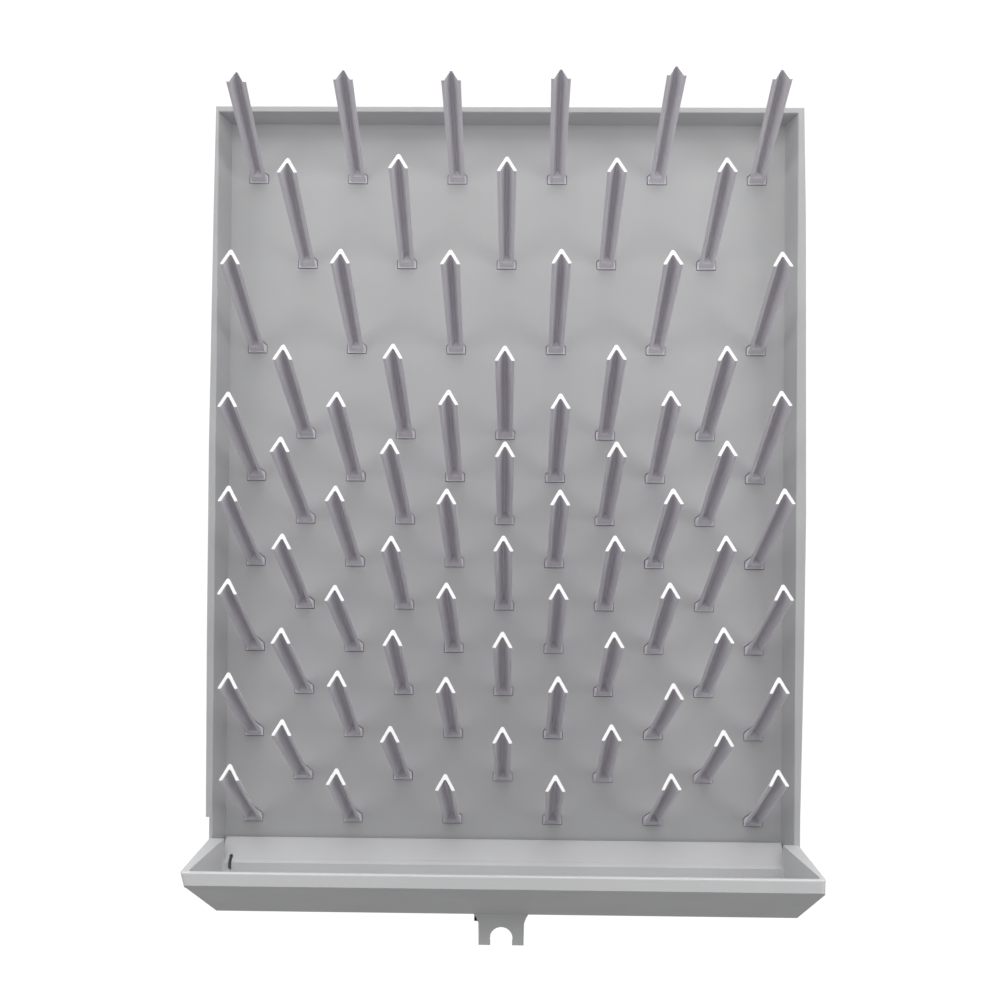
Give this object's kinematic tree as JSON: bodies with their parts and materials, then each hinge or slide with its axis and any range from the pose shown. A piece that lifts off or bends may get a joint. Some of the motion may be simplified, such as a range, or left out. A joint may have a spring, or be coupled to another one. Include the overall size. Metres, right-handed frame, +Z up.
{
  "type": "draining rack",
  "caption": "Wall-hung pegboard draining rack: a rimmed moulded panel with rows of upward-sloping pull-out pegs and a lift-off drip tray with a drain and hose clip below.",
  "frame": {"origin": "centre of the rear wall pad on the wall plane, midway between the two hanger keyholes and level with the lower edge of the top row of peg slots", "axes": "+X to the right as seen from the front, -Y out of the wall towards the user, +Y into the wall, +Z up"},
  "size_m": [0.4463, 0.11, 0.6317],
  "materials": {
    "board_plastic": "satin moulded polystyrene, light grey",
    "tray_plastic": "satin moulded polystyrene, light grey",
    "peg_plastic": "semi-gloss moulded polystyrene, near white",
    "fitting_plastic": "moulded plastic",
    "seal_rubber": "black rubber",
    "clip_steel": "blackened spring steel",
    "hanger_steel": "zinc-plated steel"
  },
  "bodies": {
    "root": {"backboard": "board_plastic", "hanger_plate_left": "hanger_steel", "hanger_plate_right": "hanger_steel", "hanger_screws": "hanger_steel"},
    "drip_tray": {"drip_tray": "tray_plastic", "drain_spigot": "fitting_plastic", "drain_seal": "seal_rubber", "drain_nut": "fitting_plastic", "hose_clip": "clip_steel"},
    "peg_r01_c1": {"peg_r01_c1": "peg_plastic"},
    "peg_r01_c2": {"peg_r01_c2": "peg_plastic"},
    "peg_r01_c3": {"peg_r01_c3": "peg_plastic"},
    "peg_r01_c4": {"peg_r01_c4": "peg_plastic"},
    "peg_r01_c5": {"peg_r01_c5": "peg_plastic"},
    "peg_r01_c6": {"peg_r01_c6": "peg_plastic"},
    "peg_r02_c1": {"peg_r02_c1": "peg_plastic"},
    "peg_r02_c2": {"peg_r02_c2": "peg_plastic"},
    "peg_r02_c3": {"peg_r02_c3": "peg_plastic"},
    "peg_r02_c4": {"peg_r02_c4": "peg_plastic"},
    "peg_r02_c5": {"peg_r02_c5": "peg_plastic"},
    "peg_r03_c1": {"peg_r03_c1": "peg_plastic"},
    "peg_r03_c2": {"peg_r03_c2": "peg_plastic"},
    "peg_r03_c3": {"peg_r03_c3": "peg_plastic"},
    "peg_r03_c4": {"peg_r03_c4": "peg_plastic"},
    "peg_r03_c5": {"peg_r03_c5": "peg_plastic"},
    "peg_r03_c6": {"peg_r03_c6": "peg_plastic"},
    "peg_r04_c1": {"peg_r04_c1": "peg_plastic"},
    "peg_r04_c2": {"peg_r04_c2": "peg_plastic"},
    "peg_r04_c3": {"peg_r04_c3": "peg_plastic"},
    "peg_r04_c4": {"peg_r04_c4": "peg_plastic"},
    "peg_r04_c5": {"peg_r04_c5": "peg_plastic"},
    "peg_r05_c1": {"peg_r05_c1": "peg_plastic"},
    "peg_r05_c2": {"peg_r05_c2": "peg_plastic"},
    "peg_r05_c3": {"peg_r05_c3": "peg_plastic"},
    "peg_r05_c4": {"peg_r05_c4": "peg_plastic"},
    "peg_r05_c5": {"peg_r05_c5": "peg_plastic"},
    "peg_r05_c6": {"peg_r05_c6": "peg_plastic"},
    "peg_r06_c1": {"peg_r06_c1": "peg_plastic"},
    "peg_r06_c2": {"peg_r06_c2": "peg_plastic"},
    "peg_r06_c3": {"peg_r06_c3": "peg_plastic"},
    "peg_r06_c4": {"peg_r06_c4": "peg_plastic"},
    "peg_r06_c5": {"peg_r06_c5": "peg_plastic"},
    "peg_r07_c1": {"peg_r07_c1": "peg_plastic"},
    "peg_r07_c2": {"peg_r07_c2": "peg_plastic"},
    "peg_r07_c3": {"peg_r07_c3": "peg_plastic"},
    "peg_r07_c4": {"peg_r07_c4": "peg_plastic"},
    "peg_r07_c5": {"peg_r07_c5": "peg_plastic"},
    "peg_r07_c6": {"peg_r07_c6": "peg_plastic"},
    "peg_r08_c1": {"peg_r08_c1": "peg_plastic"},
    "peg_r08_c2": {"peg_r08_c2": "peg_plastic"},
    "peg_r08_c3": {"peg_r08_c3": "peg_plastic"},
    "peg_r08_c4": {"peg_r08_c4": "peg_plastic"},
    "peg_r08_c5": {"peg_r08_c5": "peg_plastic"},
    "pegs_row_09": {"pegs_row_09": "peg_plastic"},
    "pegs_row_10": {"pegs_row_10": "peg_plastic"},
    "pegs_row_11": {"pegs_row_11": "peg_plastic"},
    "pegs_row_12": {"pegs_row_12": "peg_plastic"},
    "pegs_row_13": {"pegs_row_13": "peg_plastic"}
  },
  "joints": [
    {"name": "tray_lift", "type": "slide", "parent": "root", "child": "drip_tray", "axis": [0, 0, 1], "range_m": [0, 0.01]},
    {"name": "pull_peg_r01_c1", "type": "slide", "parent": "root", "child": "peg_r01_c1", "axis": [0.047, -0.9973, -0.0558], "range_m": [0, 0.02]},
    {"name": "pull_peg_r01_c2", "type": "slide", "parent": "root", "child": "peg_r01_c2", "axis": [0.0174, -0.9993, -0.0332], "range_m": [0, 0.02]},
    {"name": "pull_peg_r01_c3", "type": "slide", "parent": "root", "child": "peg_r01_c3", "axis": [-0.0017, -0.9993, -0.0384], "range_m": [0, 0.02]},
    {"name": "pull_peg_r01_c4", "type": "slide", "parent": "root", "child": "peg_r01_c4", "axis": [-0.0087, -0.9997, -0.0209], "range_m": [0, 0.02]},
    {"name": "pull_peg_r01_c5", "type": "slide", "parent": "root", "child": "peg_r01_c5", "axis": [0.0297, -0.9995, 0.014], "range_m": [0, 0.02]},
    {"name": "pull_peg_r01_c6", "type": "slide", "parent": "root", "child": "peg_r01_c6", "axis": [-0.0174, -0.9996, -0.0209], "range_m": [0, 0.02]},
    {"name": "pull_peg_r02_c1", "type": "slide", "parent": "root", "child": "peg_r02_c1", "axis": [0.0174, -0.9996, -0.0209], "range_m": [0, 0.02]},
    {"name": "pull_peg_r02_c2", "type": "slide", "parent": "root", "child": "peg_r02_c2", "axis": [0.0209, -0.9995, 0.0227], "range_m": [0, 0.02]},
    {"name": "pull_peg_r02_c3", "type": "slide", "parent": "root", "child": "peg_r02_c3", "axis": [0.007, -1, 0], "range_m": [0, 0.02]},
    {"name": "pull_peg_r02_c4", "type": "slide", "parent": "root", "child": "peg_r02_c4", "axis": [0.0018, -1, -0.0052], "range_m": [0, 0.02]},
    {"name": "pull_peg_r02_c5", "type": "slide", "parent": "root", "child": "peg_r02_c5", "axis": [-0.0052, -1, -0.0018], "range_m": [0, 0.02]},
    {"name": "pull_peg_r03_c1", "type": "slide", "parent": "root", "child": "peg_r03_c1", "axis": [0.007, -1, 0.0018], "range_m": [0, 0.02]},
    {"name": "pull_peg_r03_c2", "type": "slide", "parent": "root", "child": "peg_r03_c2", "axis": [0.0035, -0.9999, 0.014], "range_m": [0, 0.02]},
    {"name": "pull_peg_r03_c3", "type": "slide", "parent": "root", "child": "peg_r03_c3", "axis": [0.0018, -0.9999, 0.0105], "range_m": [0, 0.02]},
    {"name": "pull_peg_r03_c4", "type": "slide", "parent": "root", "child": "peg_r03_c4", "axis": [0.007, -0.9997, 0.0227], "range_m": [0, 0.02]},
    {"name": "pull_peg_r03_c5", "type": "slide", "parent": "root", "child": "peg_r03_c5", "axis": [0.0122, -0.9998, 0.0175], "range_m": [0, 0.02]},
    {"name": "pull_peg_r03_c6", "type": "slide", "parent": "root", "child": "peg_r03_c6", "axis": [-0.0018, -1, 0.0052], "range_m": [0, 0.02]},
    {"name": "pull_peg_r04_c1", "type": "slide", "parent": "root", "child": "peg_r04_c1", "axis": [-0.007, -1, -0.0035], "range_m": [0, 0.02]},
    {"name": "pull_peg_r04_c2", "type": "slide", "parent": "root", "child": "peg_r04_c2", "axis": [-0.0105, -0.9999, 0.0105], "range_m": [0, 0.02]},
    {"name": "pull_peg_r04_c3", "type": "slide", "parent": "root", "child": "peg_r04_c3", "axis": [0.0017, -1, -0.0017], "range_m": [0, 0.02]},
    {"name": "pull_peg_r04_c4", "type": "slide", "parent": "root", "child": "peg_r04_c4", "axis": [0.0087, -0.9999, 0.0122], "range_m": [0, 0.02]},
    {"name": "pull_peg_r04_c5", "type": "slide", "parent": "root", "child": "peg_r04_c5", "axis": [0.0052, -0.9999, 0.0087], "range_m": [0, 0.02]},
    {"name": "pull_peg_r05_c1", "type": "slide", "parent": "root", "child": "peg_r05_c1", "axis": [-0.0035, -1, -0.0052], "range_m": [0, 0.02]},
    {"name": "pull_peg_r05_c2", "type": "slide", "parent": "root", "child": "peg_r05_c2", "axis": [-0.0157, -0.9999, 0], "range_m": [0, 0.02]},
    {"name": "pull_peg_r05_c3", "type": "slide", "parent": "root", "child": "peg_r05_c3", "axis": [-0.0052, -0.9997, 0.0227], "range_m": [0, 0.02]},
    {"name": "pull_peg_r05_c4", "type": "slide", "parent": "root", "child": "peg_r05_c4", "axis": [0.007, -1, -0.0035], "range_m": [0, 0.02]},
    {"name": "pull_peg_r05_c5", "type": "slide", "parent": "root", "child": "peg_r05_c5", "axis": [0.0035, -0.9997, 0.0262], "range_m": [0, 0.02]},
    {"name": "pull_peg_r05_c6", "type": "slide", "parent": "root", "child": "peg_r05_c6", "axis": [0.0017, -0.9995, 0.0314], "range_m": [0, 0.02]},
    {"name": "pull_peg_r06_c1", "type": "slide", "parent": "root", "child": "peg_r06_c1", "axis": [-0.0244, -0.9996, 0.0157], "range_m": [0, 0.02]},
    {"name": "pull_peg_r06_c2", "type": "slide", "parent": "root", "child": "peg_r06_c2", "axis": [-0.0262, -0.9996, 0.0052], "range_m": [0, 0.02]},
    {"name": "pull_peg_r06_c3", "type": "slide", "parent": "root", "child": "peg_r06_c3", "axis": [0.0087, -0.9999, -0.0122], "range_m": [0, 0.02]},
    {"name": "pull_peg_r06_c4", "type": "slide", "parent": "root", "child": "peg_r06_c4", "axis": [0.014, -0.9999, -0.007], "range_m": [0, 0.02]},
    {"name": "pull_peg_r06_c5", "type": "slide", "parent": "root", "child": "peg_r06_c5", "axis": [0.0105, -0.9999, 0.007], "range_m": [0, 0.02]},
    {"name": "pull_peg_r07_c1", "type": "slide", "parent": "root", "child": "peg_r07_c1", "axis": [0.007, -1, -0.0035], "range_m": [0, 0.02]},
    {"name": "pull_peg_r07_c2", "type": "slide", "parent": "root", "child": "peg_r07_c2", "axis": [-0.0209, -0.9998, 0.0035], "range_m": [0, 0.02]},
    {"name": "pull_peg_r07_c3", "type": "slide", "parent": "root", "child": "peg_r07_c3", "axis": [-0.0122, -0.9998, -0.014], "range_m": [0, 0.02]},
    {"name": "pull_peg_r07_c4", "type": "slide", "parent": "root", "child": "peg_r07_c4", "axis": [0.0087, -0.9998, -0.0157], "range_m": [0, 0.02]},
    {"name": "pull_peg_r07_c5", "type": "slide", "parent": "root", "child": "peg_r07_c5", "axis": [0.0262, -0.9997, 0], "range_m": [0, 0.02]},
    {"name": "pull_peg_r07_c6", "type": "slide", "parent": "root", "child": "peg_r07_c6", "axis": [0.0279, -0.9996, 0.007], "range_m": [0, 0.02]},
    {"name": "pull_peg_r08_c1", "type": "slide", "parent": "root", "child": "peg_r08_c1", "axis": [-0.0018, -1, -0.0052], "range_m": [0, 0.02]},
    {"name": "pull_peg_r08_c2", "type": "slide", "parent": "root", "child": "peg_r08_c2", "axis": [-0.0105, -0.9998, -0.0157], "range_m": [0, 0.02]},
    {"name": "pull_peg_r08_c3", "type": "slide", "parent": "root", "child": "peg_r08_c3", "axis": [0.0018, -1, -0.007], "range_m": [0, 0.02]},
    {"name": "pull_peg_r08_c4", "type": "slide", "parent": "root", "child": "peg_r08_c4", "axis": [0.007, -1, 0], "range_m": [0, 0.02]},
    {"name": "pull_peg_r08_c5", "type": "slide", "parent": "root", "child": "peg_r08_c5", "axis": [0.007, -1, 0.007], "range_m": [0, 0.02]},
    {"name": "pull_pegs_row_09", "type": "slide", "parent": "root", "child": "pegs_row_09", "axis": [0, -1, 0], "range_m": [0, 0.02]},
    {"name": "pull_pegs_row_10", "type": "slide", "parent": "root", "child": "pegs_row_10", "axis": [0, -1, 0], "range_m": [0, 0.02]},
    {"name": "pull_pegs_row_11", "type": "slide", "parent": "root", "child": "pegs_row_11", "axis": [0, -1, 0], "range_m": [0, 0.02]},
    {"name": "pull_pegs_row_12", "type": "slide", "parent": "root", "child": "pegs_row_12", "axis": [0, -1, 0], "range_m": [0, 0.02]},
    {"name": "pull_pegs_row_13", "type": "slide", "parent": "root", "child": "pegs_row_13", "axis": [0, -1, 0], "range_m": [0, 0.02]}
  ]
}
